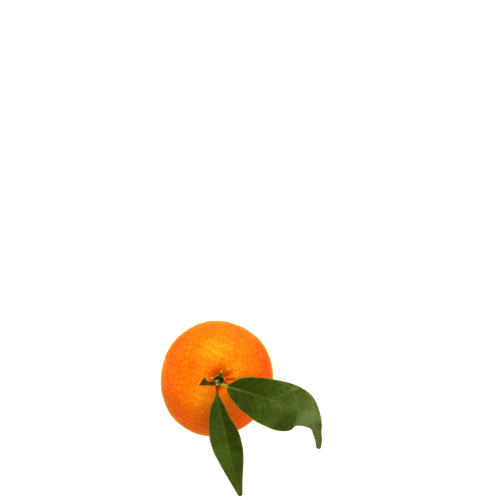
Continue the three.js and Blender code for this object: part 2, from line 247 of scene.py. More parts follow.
class NodeSheet:
    """The nodes of one material, with one Principled shader."""

    def __init__(self, name: str) -> None:
        """Start the material with its shader joined to its output.

        Args:
            name: The material's name.
        """
        self.material = bpy.data.materials.new(name)
        self.material.use_nodes = True
        self.tree = self.material.node_tree
        self.tree.nodes.clear()
        self.shader = self.node("BsdfPrincipled", {}, "BSDF").node
        output = self.tree.nodes.new("ShaderNodeOutputMaterial")
        self.put(output.inputs["Surface"], self.shader.outputs["BSDF"])
        self.place = self.node("TexCoord", {}, "Object")

    def put(self, socket: Socket, value: Any) -> None:
        """Set a socket to a value, or join it to another socket.

        Args:
            socket: The input that takes the value.
            value: A number, a colour or an output socket.
        """
        if isinstance(value, Socket):
            self.tree.links.new(value, socket)
        elif isinstance(value, tuple) and socket.type == "RGBA":
            socket.default_value = (*value, 1.0)
        else:
            socket.default_value = value

    def set(self, **values: Any) -> None:
        """Set some of the shader's inputs.

        Args:
            **values: Their values, each named by its input's label in small letters with _ for a space.
        """
        names = {socket.name.lower().replace(" ", "_"): socket for socket in self.shader.inputs}
        for name, value in values.items():
            self.put(names[name], value)

    def node(self, kind: str, inputs: dict[Any, Any], output: Any = 0, **settings: Any) -> Socket:
        """Add a node.

        Args:
            kind: Its type's name, from after ShaderNode.
            inputs: A value or a socket for each input, by its label or its number.
            output: The label or number of the output that is wanted.
            **settings: Its other settings.

        Returns:
            That output.
        """
        node = self.tree.nodes.new(f"ShaderNode{kind}")
        for name, value in settings.items():
            setattr(node, name, value)
        for name, value in inputs.items():
            self.put(node.inputs[name], value)
        return node.outputs[output]

    def math(self, operation: str, *values: Any) -> Socket:
        """Return what the Math node makes of numbers or sockets by this operation."""
        return self.node("Math", dict(enumerate(values)), operation=operation)

    def add(self, *values: Any, clamp: bool = False) -> Socket:
        """Add values up.

        Args:
            *values: Two or more numbers or sockets.
            clamp: Whether the sum is kept between 0 and 1.

        Returns:
            The socket that holds the sum.
        """
        total, *others = values
        for value in others:
            total = self.math("ADD", total, value)
        total.node.use_clamp = clamp
        return total

    def mask(self, name: str, share: float = 1.0) -> Socket:
        """Return the value that the mesh holds under this name, times a share."""
        return self.math("MULTIPLY", self.node("Attribute", {}, "Fac", attribute_name=name), share)

    def band(self, value: Any, span: Pair, to: Pair = (0.0, 1.0)) -> Socket:
        """Return a value that is mapped smoothly from one span to another."""
        numbers = dict(enumerate((value, *span, *to)))
        return self.node("MapRange", numbers, interpolation_type="SMOOTHSTEP")

    def noise(self, grain: Grain) -> Socket:
        """Make a noise.

        Args:
            grain: How coarse and how strong it is.

        Returns:
            The socket that holds it. It averages zero.
        """
        place = self.node("VectorMath", {0: self.place, 1: grain.stretch}, operation="MULTIPLY")
        inputs = {"Vector": place, "Scale": 1.0 / (grain.size * MM), "Detail": grain.detail}
        noise = self.node("TexNoise", inputs, "Fac")
        return self.math("MULTIPLY_ADD", noise, grain.share, -grain.share / 2.0)

    def cells(self, size: float, distance: CellDistance = CellDistance.MIDDLE) -> Socket:
        """Return the distances in a pattern of cells this large, in millimetres, as shares of their size."""
        inputs = {"Vector": self.place, "Scale": 1.0 / (size * MM)}
        return self.node("TexVoronoi", inputs, "Distance", feature=distance.value)

    def over(self, share: Any, under: Any, top: Any) -> Socket:
        """Return the colour that comes of laying this share of the top one over the one under it."""
        return self.node("Mix", {"Factor": share, 6: under, 7: top}, 2, data_type="RGBA")

    def ramp(self, value: Any, stops: Sequence[tuple[float, Rgb]]) -> Socket:
        """Turn a value into a colour.

        Args:
            value: The number or socket that picks the colour.
            stops: Where each colour stands, and the colour.

        Returns:
            The socket that holds the colour.
        """
        color = self.node("ValToRGB", {"Fac": value}, "Color")
        elements = color.node.color_ramp.elements
        while len(elements) < len(stops):
            elements.new(0.5)
        for element, (position, stop) in zip(elements, stops):
            element.position = position
            element.color = (*stop, 1.0)
        return color

    def bump(self, height: Any, depth: float) -> None:
        """Roughen the surface, over what roughens it already.

        Args:
            height: The socket that holds the height.
            depth: What a height of 1 stands for, in millimetres.
        """
        already = self.shader.inputs["Normal"]
        inputs = {"Strength": 1.0, "Distance": depth * MM, "Height": height}
        if already.links:
            inputs["Normal"] = already.links[0].from_socket
        self.put(already, self.node("Bump", inputs, "Normal"))


# The fruit


@dataclass(frozen=True)
class OutlineWave:
    """One wave round the fruit's outline."""

    count: int
    share: float
    peak: float


@dataclass(frozen=True)
class PigmentAndShadingPatch:
    """A patch of painted shade on the rind, or of painted highlight if its depth is below 0.

    It lies in one direction from the fruit's middle, and its spread is in degrees. Its shade is partly the
    rind's own deeper red.
    """

    direction: Triple
    spread: float
    depth: float


@dataclass(frozen=True)
class RindFinish:
    """The waxy orange rind with its oil glands. A tone from 0 to 1 picks its colour, from umber to pale."""

    tones: tuple[tuple[float, Rgb], ...] = (
        (0.0, (0.54, 0.03, 0.001)),
        (0.2, (0.8, 0.045, 0.0012)),
        (0.45, (0.9, 0.105, 0.0014)),
        (0.68, (0.92, 0.172, 0.0016)),
        (1.0, (0.93, 0.3, 0.007)),
    )
    usual_tone: float = 0.64
    # How far the mask of painted shade and highlight, partly the rind's own colour, moves the tone.
    pigment_and_shading_tone: float = -0.62
    gland_tone: float = -0.08
    grains: tuple[Grain, ...] = (Grain(9.0, 0.34), Grain(1.3, 0.85, 3.0), Grain(0.7, 0.4))
    cell_size: float = 0.62
    cell_depth: float = 0.03
    fine_grain: Grain = Grain(0.35)
    fine_depth: float = 0.02
    pore: Rgb = (0.5, 0.1, 0.002)
    pore_share: float = 0.48
    scar: Rgb = (0.162, 0.0685, 0.016)
    shine: Rgb = (1.0, 0.7, 0.03)
    bloom: Rgb = (1.0, 0.85, 0.06)
    roughness: float = 0.25
    roughness_grain: Grain = Grain(2.4, 0.2)

    def material(self) -> Material:
        """Make the material: glands darker than the skin between them, and painted shade and highlight,
        partly the rind's own deeper red.

        Returns:
            The material.
        """
        sheet = NodeSheet("rind")
        specks = sheet.band(sheet.cells(self.cell_size), (0.08, 0.4), (-0.18, 0.07))
        # The glands' own darker tone, and the painted shade and highlight, partly the rind's own red.
        marks = sheet.mask("gland", self.gland_tone), sheet.mask("deepness", self.pigment_and_shading_tone)
        tone = sheet.add(self.usual_tone, *map(sheet.noise, self.grains), specks, *marks, clamp=True)
        color = sheet.ramp(tone, self.tones)
        color = sheet.over(sheet.mask("gland", self.pore_share), color, self.pore)
        color = sheet.over(sheet.mask("scar"), color, self.scar)
        sheet.set(
            base_color=color,
            roughness=sheet.add(self.roughness, sheet.noise(self.roughness_grain)),
            specular_ior_level=0.06,
            specular_tint=self.shine,
            sheen_weight=1.0,
            sheen_roughness=0.26,
            sheen_tint=self.bloom,
        )
        sheet.bump(sheet.band(sheet.cells(self.cell_size), (0.1, 0.45)), self.cell_depth)
        sheet.bump(sheet.noise(self.fine_grain), self.fine_depth)
        return sheet.material


@dataclass(frozen=True)
class Fruit:
    """The whole fruit: a flattened round with a hollow at its stem end and a flat spot below.

    The rind's tone goes down with painted shade and up with painted highlight, partly for its own colour.
    The hollow's is in pairs, each of a width and how much deeper it goes, partly as the rind's own redder
    colour near the stem and partly as painted shade. The furrows take painted shade, the lobes between
    them a painted highlight, and the low part a paler tone that paints a rim light.
    """

    radius: float = 29.8
    crown_rise: float = 25.6
    base_drop: float = 24.0
    fullness: float = 2.3
    flat_spot_radius: float = 7.5
    outline: tuple[OutlineWave, ...] = (
        OutlineWave(2, 0.021, math.radians(60)),
        OutlineWave(3, 0.01, math.radians(8)),
    )
    crown: Pair = (1.7, 0.5)
    hollow_depth: float = 4.2
    hollow_width: float = 6.2
    furrows: int = 9
    furrow_depth: float = 0.75
    furrow_reach: float = 5.2
    furrow_spread: float = 4.6
    inset: float = 0.08
    steps: int = 126
    swells: tuple[Unevenness, ...] = (
        Unevenness(3, 9.0, 0.05),
        Unevenness(4, 22.0, 0.16),
        Unevenness(5, 3.0, 0.06),
    )
    swell_inset: float = 0.25
    gland_seed: int = 11
    gland_spacing: float = 1.3
    gland_scatter: float = 0.3
    gland_sizes: Pair = (0.7, 1.25)
    gland_depth: float = 0.15
    gland_radius: float = 0.36
    scar_radius: float = 1.5
    scar_depth: float = 0.3
    # Near the crown: the hollow deeper, partly own red and partly painted shade; painted shade in the
    # furrows.
    hollow_deepness: tuple[Pair, ...] = ((7.0, 0.2), (4.0, 0.45))
    furrow_deepness: float = 0.2
    # A painted highlight on the lobes between the furrows.
    lobe_painted_highlight: float = 0.12
    lobe_reach: float = 9.0
    lobe_spread: float = 3.0
    # A paler tone low on the fruit: painted rim light.
    low_painted_rim_light: float = 0.2
    # Painted shade and painted highlight, each in one direction; partly the rind's own deeper red.
    patches: tuple[PigmentAndShadingPatch, ...] = (
        PigmentAndShadingPatch((0.95, 0.3, 0.1), 34.0, 0.46),
        PigmentAndShadingPatch((1.0, 0.1, 0.12), 26.0, 0.44),
        PigmentAndShadingPatch((-0.8, -0.8, 0.1), 44.0, 0.42),
        PigmentAndShadingPatch((-0.8, 0.6, 0.1), 36.0, 0.3),
        PigmentAndShadingPatch((-0.72, 0.5, 0.4), 24.0, 0.16),
        PigmentAndShadingPatch((0.0, 0.62, 0.78), 16.0, -0.34),
        PigmentAndShadingPatch((0.5, -0.85, 0.3), 34.0, 0.66),
        PigmentAndShadingPatch((0.5, 0.85, 0.15), 34.0, 0.3),
        PigmentAndShadingPatch((-0.28, -0.33, 0.9), 14.0, -0.36),
        PigmentAndShadingPatch((0.41, 0.19, 0.9), 9.0, -0.36),
    )
    finish: RindFinish = field(default_factory=RindFinish)

    @property
    def widest_height(self) -> float:
        """How high the widest level is."""
        share = self.flat_spot_radius / self.radius
        return self.base_drop * (1.0 - share**self.fullness) ** (1.0 / self.fullness)

    def outline_share(self, angle: Array) -> Array:
        """Return the outline's radius in each direction, as a share of the mean one."""
        return 1.0 + sum(wave.share * np.cos(wave.count * (angle - wave.peak)) for wave in self.outline)

    def furrow_share(self, points: Array) -> Array:
        """Work out how deep the furrows are at each point.

        Args:
            points: The points, whose heights don't count.

        Returns:
            The depths as shares of the deepest.
        """
        distance = away(points, self.crown)
        angle = np.arctan2(points[..., 1] - self.crown[1], points[..., 0] - self.crown[0])
        turn = self.furrows * angle + 1.2 * np.sin(2.0 * angle + 0.6) + 0.8 * np.sin(3.0 * angle)
        fold = (0.5 + 0.5 * np.cos(turn)) ** 1.5
        strength = 0.6 + 0.4 * np.cos(angle - 0.2)
        ring = bell(distance - self.furrow_reach, self.furrow_spread) * smooth(distance, 0.0, 2.5)
        return fold * strength * ring

    def crown_sink(self, points: Array) -> Array:
        """Return how far the crown is sunk at each point, by the hollow and the furrows."""
        hollow = self.hollow_depth * bell(away(points, self.crown), self.hollow_width)
        return hollow + self.furrow_depth * self.furrow_share(points)

    def crown_height(self, points: Array) -> Array:
        """Work out the height of the upper surface at each point.

        Args:
            points: The points, whose own heights don't count.

        Returns:
            The heights above what the fruit stands on.
        """
        angle = np.arctan2(points[..., 1], points[..., 0])
        share = away(points, (0.0, 0.0)) / (self.radius * self.outline_share(angle))
        rise = (1.0 - np.minimum(share, 1.0) ** self.fullness) ** (1.0 / self.fullness)
        return self.widest_height + self.crown_rise * rise - self.crown_sink(points)

    def directions(self) -> tuple[Array, Array]:
        """Spread points evenly over a ball, on the six faces of a cube.

        Returns:
            Unit vectors, one a row, and the four-sided faces between them.
        """
        numbers = np.arange(-self.steps, self.steps + 1, 2)
        u, v = np.meshgrid(numbers, numbers, indexing="ij")
        quads = grid_faces(np.arange(u.size).reshape(u.shape).T)
        lattice, faces = [], []
        for axis in range(3):
            for side in (-1, 1):
                faces.append(quads[:, ::side] + u.size * len(lattice))
                layer = np.stack([np.full_like(u, side * self.steps), u, v], axis=-1)
                lattice.append(np.roll(layer, axis, axis=-1).reshape(-1, 3))
        places, number = np.unique(np.concatenate(lattice), axis=0, return_inverse=True)
        ball = unit(np.tan(places * (math.pi / 4.0 / self.steps)))
        return ball, number.ravel()[np.concatenate(faces)]

    def surface(self, ball: Array) -> Array:
        """Place each direction on the fruit's smooth surface.

        Args:
            ball: Unit vectors, one a row.

        Returns:
            The points in millimetres.
        """
        level = away(ball, (0.0, 0.0))
        above = ball[:, 2] > 0.0
        rise = np.where(above, self.crown_rise, self.base_drop)
        power = self.fullness
        reach = ((level / self.radius) ** power + (np.abs(ball[:, 2]) / rise) ** power) ** (-1.0 / power)
        points = ball * reach[:, None]
        points[:, :2] *= self.outline_share(np.arctan2(ball[:, 1], ball[:, 0]))[:, None]
        points[:, 2] += self.widest_height - np.where(above, self.crown_sink(points), 0.0)
        points[:, 2] = np.maximum(points[:, 2], 0.0)
        return points

    def glands(self, points: Array) -> Array:
        """Work out how deep in a gland's pit each point lies.

        Args:
            points: The points of the smooth surface.

        Returns:
            Depths as shares of the usual pit's.
        """
        area = 4.0 * math.pi * self.radius * (self.crown_rise + self.base_drop) / 2.0
        count = int(area / self.gland_spacing**2)
        rng = np.random.default_rng(self.gland_seed)
        rank = np.arange(count) + 0.5
        polar = np.arccos(1.0 - 2.0 * rank / count)
        ball = round_axis(rank * math.pi * (3.0 - math.sqrt(5.0)), np.sin(polar), np.cos(polar))
        scatter = self.gland_scatter * self.gland_spacing / self.radius
        ball = unit(ball + rng.normal(scale=scatter, size=ball.shape))
        sizes = rng.uniform(*self.gland_sizes, count)
        tree = kdtree.KDTree(count)
        for number, middle in enumerate(self.surface(ball)):
            tree.insert(middle, number)
        tree.balance()
        depth = np.zeros(len(points))
        for number, point in enumerate(points):
            for _, gland, distance in tree.find_n(point, 2):
                size = sizes[gland]
                pit = size * math.exp(-((distance / (self.gland_radius * size)) ** 2))
                depth[number] = max(depth[number], pit)
        return depth

    def deepness(self, points: Array) -> Array:
        """Work out how much deeper or paler than its usual orange the rind is painted at each point:
        partly its own redder colour, partly painted shade and painted highlight.

        Args:
            points: The points of the surface.

        Returns:
            Shares of the way to the deepest red.
        """
        distance = away(points, self.crown)
        furrows = self.furrow_share(points)
        middle = self.widest_height
        top = smooth(points[:, 2], middle, middle + 10.0)
        low = 1.0 - smooth(points[:, 2], middle - 12.0, middle + 14.0)
        hollow = sum(depth * bell(distance, width) for width, depth in self.hollow_deepness)
        lobes = (1.0 - furrows) * bell(distance - self.lobe_reach, self.lobe_spread)
        # Hollow: own red and painted shade. Furrows: painted shade. Lobes: painted highlight.
        total = top * (hollow + self.furrow_deepness * furrows - self.lobe_painted_highlight * lobes)
        # A paler tone low down, a painted rim light.
        total -= self.low_painted_rim_light * low
        ways = unit(points - np.array([0.0, 0.0, middle]))
        # Painted shade and painted highlight in patches, partly the rind's own deeper red.
        for patch in self.patches:
            turn = np.arccos(np.clip(ways @ unit(np.array(patch.direction)), -1.0, 1.0))
            total += patch.depth * bell(turn, math.radians(patch.spread))
        return total

    def build(self) -> Object:
        """Make the fruit.

        Returns:
            The dressed piece.
        """
        ball, faces = self.directions()
        points = self.surface(ball)
        normals = point_normals(points, faces)
        standing = smooth(points[:, 2], 0.02, 1.2)
        pits = self.glands(points)
        swell = sum(layer.at(points) for layer in self.swells) - self.swell_inset
        scar = np.where(points[:, 2] < 1.0, bell(away(points, (0.0, 0.0)), self.scar_radius), 0.0)
        height = swell * standing - self.gland_depth * pits * mix(0.5, 1.0, standing)
        height = height - self.scar_depth * scar - self.inset
        points = points + normals * height[:, None]
        points[:, 2] = np.maximum(points[:, 2], 0.0)
        # The painted shade and highlight go to the finish with the glands and the scar.
        masks = {"gland": pits, "deepness": self.deepness(points), "scar": smooth(scar, 0.3, 0.8)}
        piece = make_mesh("whole_fruit", points, faces, masks)
        return finish_piece(piece, "fruit", self.finish.material())


# The leaves


@dataclass(frozen=True)
class Rib:
    """A place along a leaf's midrib, and what the blade does there.

    The blade reaches left and right of it, looking along the leaf from above. In degrees, each half folds up,
    the right side rolls down, and the rib slants, with its left end nearer the root.
    """

    at: Triple
    left: float
    right: float
    fold: float = 0.0
    roll: float = 0.0
    slant: float = 0.0


@dataclass(frozen=True)
class Wave:
    """A rise of the margin on one side, at a place given as how many ribs from the root it is.

    Bend tells how it grows from the midrib to the margin: 1 evenly, more mostly near the margin.
    """

    side: int
    rank: float
    spread: float
    lift: float
    bend: float = 2.0


@dataclass(frozen=True)
class PaintedShading:
    """A patch of painted highlight on a blade, or of painted shade if its gain is below 0.

    Across is how far from the midrib its middle is, as a share of the way to the right margin.
    """

    rank: float
    across: float
    spread: float
    width: float
    gain: float


@dataclass(frozen=True)
class LeafFinish:
    """A glossy green blade, paler below, with its veins, margins and petiole.

    Above and below say how strongly the net, the side veins and the midrib show on each side.
    """

    name: str
    petiole: Rgb
    tip: Rgb
    tip_share: float = 0.0
    dark: Rgb = (0.019, 0.035, 0.0006)
    mid: Rgb = (0.033, 0.064, 0.0012)
    light: Rgb = (0.058, 0.1, 0.012)
    mid_tone: float = 0.55
    usual_tone: float = 0.48
    vein: Rgb = (0.085, 0.125, 0.025)
    above: Triple = (0.05, 0.22, 0.34)
    # The pale orange-tan margin: partly the blade's own paler edge, partly painted reflection of the rind.
    margin: Rgb = (0.26, 0.2, 0.04)
    margin_share: float = 0.7
    under: Rgb = (0.085, 0.13, 0.028)
    under_vein: Rgb = (0.17, 0.21, 0.07)
    below: Triple = (0.25, 0.5, 1.0)
    shine: Rgb = (0.9, 1.0, 0.2)
    # Lighter towards the tip: partly the blade's own tone, partly painted light on its outer part.
    far_tone_and_light: float = 0.0
    gloss: float = 0.3
    roughness: float = 0.34
    under_roughness: float = 0.38
    roughness_grain: Grain = Grain(3.0, 0.16)
    grains: tuple[Grain, ...] = (Grain(6.0, 1.5, 3.0), Grain(1.0, 0.9, 4.0, (0.35, 1.5, 1.0)))
    mottle: Grain = Grain(0.6, 1.6, 3.0)
    net_size: float = 1.15
    net_depth: float = 0.02
    vein_depth: float = 0.03
    fine_grain: Grain = Grain(0.45)
    fine_depth: float = 0.02

    def material(self) -> Material:
        """Make the material, which reads what the mesh says of veins, margin, tip, petiole and underside.

        Returns:
            The material.
        """
        sheet = NodeSheet(self.name)
        phase = sheet.math("FRACT", sheet.mask("vein_phase"))
        from_line = sheet.math("ABSOLUTE", sheet.math("SUBTRACT", phase, 0.5))
        side_vein = sheet.band(from_line, (0.02, 0.08), (1.0, 0.0))
        side_vein = sheet.math("MULTIPLY", side_vein, sheet.mask("vein_room"))
        net = sheet.band(sheet.cells(self.net_size, CellDistance.EDGE), (0.02, 0.13), (1.0, 0.0))
        tone = sheet.add(self.usual_tone, *map(sheet.noise, self.grains), clamp=True)
        # Lighter towards the tip, partly painted light.
        tone = sheet.add(tone, sheet.mask("far", self.far_tone_and_light), clamp=True)
        # Random mottling, and the painted shade and painted highlight of the shade mask.
        tone = sheet.add(tone, sheet.noise(self.mottle), sheet.mask("shade"), clamp=True)
        top = sheet.ramp(tone, [(0.0, self.dark), (self.mid_tone, self.mid), (1.0, self.light)])
        bottom = self.under
        for line, above, below in zip((net, side_vein, sheet.mask("midrib")), self.above, self.below):
            top = sheet.over(sheet.math("MULTIPLY", line, above), top, self.vein)
            bottom = sheet.over(sheet.math("MULTIPLY", line, below), bottom, self.under_vein)
        color = sheet.over(sheet.mask("underside"), top, bottom)
        color = sheet.over(sheet.mask("tip", self.tip_share), color, self.tip)
        # The margin, partly painted reflection of the rind.
        color = sheet.over(sheet.mask("margin", self.margin_share), color, self.margin)
        color = sheet.over(sheet.mask("stalk"), color, self.petiole)
        matte = sheet.mask("underside", self.under_roughness)
        rough = sheet.add(self.roughness, sheet.noise(self.roughness_grain), matte)
        sheet.set(base_color=color, roughness=rough, specular_ior_level=self.gloss, specular_tint=self.shine)
        sheet.bump(net, self.net_depth)
        sheet.bump(side_vein, self.vein_depth)
        sheet.bump(sheet.noise(self.fine_grain), self.fine_depth)
        return sheet.material


@dataclass(frozen=True)
class Leaf:
    """A leaf with its petiole, through ribs along its midrib."""

    node: str
    ribs: tuple[Rib, ...]
    finish: LeafFinish
    steps: int
    columns: int
    waves: tuple[Wave, ...] = ()
    # Patches of painted shade and painted highlight on the blade.
    painted_shading: tuple[PaintedShading, ...] = ()
    seed: int = 1
    blade_thickness: float = 0.36
    margin_thickness: float = 0.16
    margin_width: float = 0.55
    rib_depth: float = 0.5
    rib_half_width: float = 0.525
    groove_depth: float = 0.16
    groove_half_width: float = 0.4
    petiole_thickness: float = 1.25
    channel_depth: float = 0.35
    taper: float = 0.75
    vein_spacing: float = 4.4
    vein_lean: float = 0.62
    vein_curve: float = 0.018
    vein_wobble: float = 0.06
    quilting: float = 0.035
    ripple: float = 0.22
    crenation: float = 0.06
    crenation_pitch: float = 1.9
    tip_length: float = 0.0
    tip_rings: int = 10
    tip_across: float = 0.0
    tip_thickening: float = 0.0
    tip_end_share: float = 0.25

    def along(self, name: str, ranks: Array) -> Array:
        """Read one of the ribs' values on a smooth line through them all.

        Args:
            name: The value's name, for a number or a point.
            ranks: Where, as how many ribs from the root.

        Returns:
            A value or a point for each place.
        """
        values = np.array([getattr(rib, name) for rib in self.ribs], dtype=float)
        last = len(self.ribs) - 1
        i = np.minimum(ranks.astype(int), last - 1)
        a, b, c, d = (values[np.clip(i + k, 0, last)] for k in (-1, 0, 1, 2))
        t = (ranks - i)[..., None] if values.ndim > 1 else ranks - i
        bend = (2.0 * a - 5.0 * b + 4.0 * c - d) * t**2 + (3.0 * (b - c) + d - a) * t**3
        return b + ((c - a) * t + bend) / 2.0

    def stations(self) -> tuple[Array, Array, Array]:
        """Choose the places along the leaf where its rings stand.

        Returns:
            How many ribs from the root each one is, how far from it, and how far round the tip.
        """
        fine = np.linspace(0.0, len(self.ribs) - 1.0, 2000)
        steps = np.linalg.norm(np.diff(self.along("at", fine), axis=0), axis=1)
        travelled = np.concatenate([[0.0], np.cumsum(steps)])
        length = travelled[-1]
        reach = np.linspace(0.0, length - self.tip_length, self.steps)
        past = np.zeros(len(reach))
        if self.tip_length > 0.0:
            turn = np.sin(np.linspace(0.0, math.pi / 2.0, self.tip_rings))[1:]
            reach = np.concatenate([reach, length - self.tip_length * (1.0 - turn)])
            past = np.maximum(0.0, 1.0 - (length - reach) / self.tip_length)
        return np.interp(reach, travelled, fine), reach, past

    def across(self) -> Array:
        """Choose the places across the leaf, closer together at the midrib and the margins.

        Returns:
            The places, from -1 at the left margin to 1 at the right one.
        """
        fine = np.linspace(-1.0, 1.0, 2001)
        density = 1.0 + 1.6 * bell(fine, 0.1) + 3.0 * bell(1.0 - np.abs(fine), 0.03)
        total = np.concatenate([[0.0], np.cumsum((density[1:] + density[:-1]) / 2.0)])
        return np.interp(np.linspace(0.0, 1.0, self.columns + 1), total / total[-1], fine)

    def faces(self, rings: int, columns: int) -> list[Sequence[int]]:
        """Return the faces of the leaf's rings, with a flat end at the root and at the tip.

        Args:
            rings: How many rings there are.
            columns: How many points each one has above, from margin to margin.

        Returns:
            The point numbers of each face.
        """
        sides = 2 * columns - 2
        faces = [*tube_faces(rings, sides)[:, ::-1]]
        for ring in (0, rings - 1):
            for c in range(columns - 1):
                quad = [c, c + 1, (sides - c - 1) % sides, (sides - c) % sides]
                quad = list(dict.fromkeys(ring * sides + k for k in quad))
                faces.append(quad if ring == 0 else quad[::-1])
        return faces

    def build(self) -> Object:
        """Make the leaf, with a row for each station and a column for each place across it.

        Returns:
            The dressed piece.
        """
        ranks, distance, past = (values[:, None] for values in self.stations())
        length = distance[-1, 0]
        across = self.across()[None]
        side, share = np.sign(across), np.abs(across)
        line = self.along("at", ranks)
        heading = unit(np.gradient(line, distance[:, 0], axis=0))
        right = turned(unit(np.cross(heading, [0.0, 0.0, 1.0])), heading, self.along("roll", ranks))
        normal = unit(np.cross(right, heading))
        right = turned(right, normal, self.along("slant", ranks))
        fold = np.tan(np.radians(self.along("fold", ranks)))

        # The plan of the blade, with its fine teeth
        blade = smooth(ranks, 0.4, 1.8)
        narrow = np.maximum(self.tip_end_share, np.sqrt(1.0 - past**2))
        width = np.where(side < 0.0, self.along("left", ranks), self.along("right", ranks)) * narrow
        teeth = np.sin(2.0 * math.pi * distance / self.crenation_pitch + 0.8 * np.sin(distance / 3.1)) - 1.0
        width = width + self.crenation * teeth * blade * (1.0 - past) * smooth(share, 0.7, 1.0)
        reach = width * share
        from_margin = width - reach
        flat = line + right * (side * reach)[..., None]

        # The side veins, the quilting between them and the larger waves
        phase = (distance - self.vein_lean * reach - self.vein_curve * reach**2) / self.vein_spacing
        phase = phase + Unevenness(self.seed, 9.0, self.vein_wobble).at(flat)
        phase = phase + 0.5 * smooth(side * share, -0.03, 0.03)
        room = smooth(reach, 0.4, 1.4) * smooth(from_margin, 0.2, 1.6) * blade
        ripple = Unevenness(self.seed + 50, 7.0, self.ripple).at(flat) * smooth(share, 0.5, 1.0)
        quilts = self.quilting * np.cos(2.0 * math.pi * phase) * room
        swell = ripple * blade * smooth(width, 1.5, 5.0) - quilts
        for wave in self.waves:
            rise = wave.lift * bell(ranks - wave.rank, wave.spread) * share**wave.bend
            swell += np.where(side == wave.side, rise, 0.0)
        centre = flat + normal * (fold * reach + swell)[..., None]

        # The thickness, from the round petiole to the blade with its groove above and its keel below
        edge = np.sqrt(np.maximum(0.0, 1.0 - share**2))
        blunt = np.sqrt(1.0 - np.minimum(1.0, share) ** 40.0)
        curled = smooth(distance, length - 12.0, length - 6.0) * self.tip_thickening
        thickness = mix(self.blade_thickness, self.margin_thickness, share**1.5) / 2.0 * blunt + curled * edge
        taper = 1.0 - self.taper * distance / length
        groove = self.groove_depth * bell(reach, self.groove_half_width) * taper
        keel = self.rib_depth * bell(reach, self.rib_half_width) * taper * smooth(from_margin, 0.0, 0.3)
        stalk = self.petiole_thickness / 2.0 * edge
        channel = self.channel_depth * bell(share, 0.35) * edge
        upper = mix(stalk - channel, thickness - groove, blade)
        lower = mix(stalk, thickness + keel, blade)
        points = looped(centre + normal * upper[..., None], centre - normal * lower[..., None])

        # What the finish reads
        old = smooth(distance, length - 16.0, length - 4.0)
        if self.tip_across > 0.0:
            old = smooth(reach, self.tip_across, 2.0 * self.tip_across)
        # Painted shade and painted highlight, patch by patch.
        shade = np.zeros_like(reach)
        for patch in self.painted_shading:
            near = bell(ranks - patch.rank, patch.spread)
            shade += patch.gain * near * bell(side * share - patch.across, patch.width)
        masks = {
            "shade": shade,
            "vein_phase": phase,
            "vein_room": room,
            "midrib": bell(reach, 0.5) * blade * (0.35 + 0.65 * taper),
            "margin": smooth(from_margin, self.margin_width, 0.12) * smooth(width, 0.8, 2.0),
            "tip": old,
            "far": smooth(distance / length, 0.1, 0.9) - 0.5,
            "stalk": 1.0 - smooth(ranks, 0.9, 1.6),
        }
        masks = {name: np.broadcast_to(values, reach.shape) for name, values in masks.items()}
        masks = {name: looped(values, values) for name, values in masks.items()}
        masks["underside"] = looped(np.zeros_like(reach), np.ones_like(reach))
        faces = self.faces(*reach.shape)
        piece = make_mesh(f"{self.node}_blade", points, faces, masks)
        return finish_piece(piece, self.node, self.finish.material())


def right_leaf() -> Leaf:
    """Describe the wide leaf, which arches over the fruit and ends in a drooping hook.

    Returns:
        The leaf, ready to build.
    """
    return Leaf(
        node="leaf_right",
        steps=230,
        columns=92,
        tip_length=1.2,
        tip_thickening=0.3,
        seed=21,
        finish=LeafFinish(
            "leaf_green_wide",
            petiole=(0.3, 0.32, 0.01),
            tip=(0.13, 0.11, 0.02),
            tip_share=0.8,
            # Lighter towards the tip, partly painted light, with a greyer light end for the painted sheen.
            far_tone_and_light=0.5,
            light=(0.086, 0.125, 0.034),
            gloss=0.26,
        ),
        ribs=(
            Rib((2.6, -1.9, 52.0), 0.7, 0.7),
            Rib((5.6, -2.2, 53.0), 0.7, 0.75, fold=8),
            Rib((7.7, -2.8, 53.4), 2.6, 4.2, fold=12, roll=-3),
            Rib((12.7, -4.2, 53.8), 6.7, 8.3, fold=9, roll=-5),
            Rib((18.9, -6.3, 53.8), 9.0, 11.2, fold=6, roll=-7),
            Rib((24.9, -8.3, 53.0), 10.2, 13.2, fold=3, roll=-8),
            Rib((31.1, -10.3, 51.4), 11.0, 14.0, fold=0, roll=-8),
            Rib((36.4, -12.7, 49.2), 11.7, 13.6, fold=-2, roll=-7),
            Rib((41.7, -15.5, 46.2), 11.3, 10.8, fold=-3, roll=-5),
            Rib((45.6, -18.5, 43.0), 9.4, 6.2, fold=-3, roll=-3),
            Rib((50.0, -23.1, 38.5), 5.0, 2.8, fold=4),
            Rib((52.4, -27.4, 34.5), 1.85, 2.9, fold=10),
            Rib((53.2, -31.4, 30.5), 1.4, 2.4, fold=12),
            Rib((52.9, -36.2, 26.5), 1.1, 1.4, fold=8),
        ),
        waves=(
            Wave(1, 7.95, 0.9, 2.8, 1.0),
            Wave(1, 8.7, 0.5, -0.5, 1.0),
            Wave(-1, 5.4, 1.4, -0.8),
            Wave(-1, 8.6, 0.9, -0.6),
        ),
        # Painted shade by the crease and the root; painted highlight where the blade faces the lights.
        painted_shading=(
            PaintedShading(7.6, 0.7, 0.6, 0.5, -1.0),
            PaintedShading(6.6, 0.85, 0.7, 0.4, -0.5),
            PaintedShading(7.85, 0.85, 0.24, 0.4, -1.0),
            PaintedShading(8.4, 0.8, 0.24, 0.4, 0.7),
            PaintedShading(8.8, 0.6, 0.5, 0.6, 0.2),
            PaintedShading(9.2, 0.4, 0.7, 0.7, 0.25),
            PaintedShading(9.5, -0.2, 0.5, 0.6, 0.5),
            PaintedShading(4.0, -0.6, 0.9, 0.6, -0.7),
            PaintedShading(2.9, 0.3, 0.8, 0.8, -0.7),
            PaintedShading(5.0, 0.4, 0.6, 0.3, 0.15),
        ),
    )


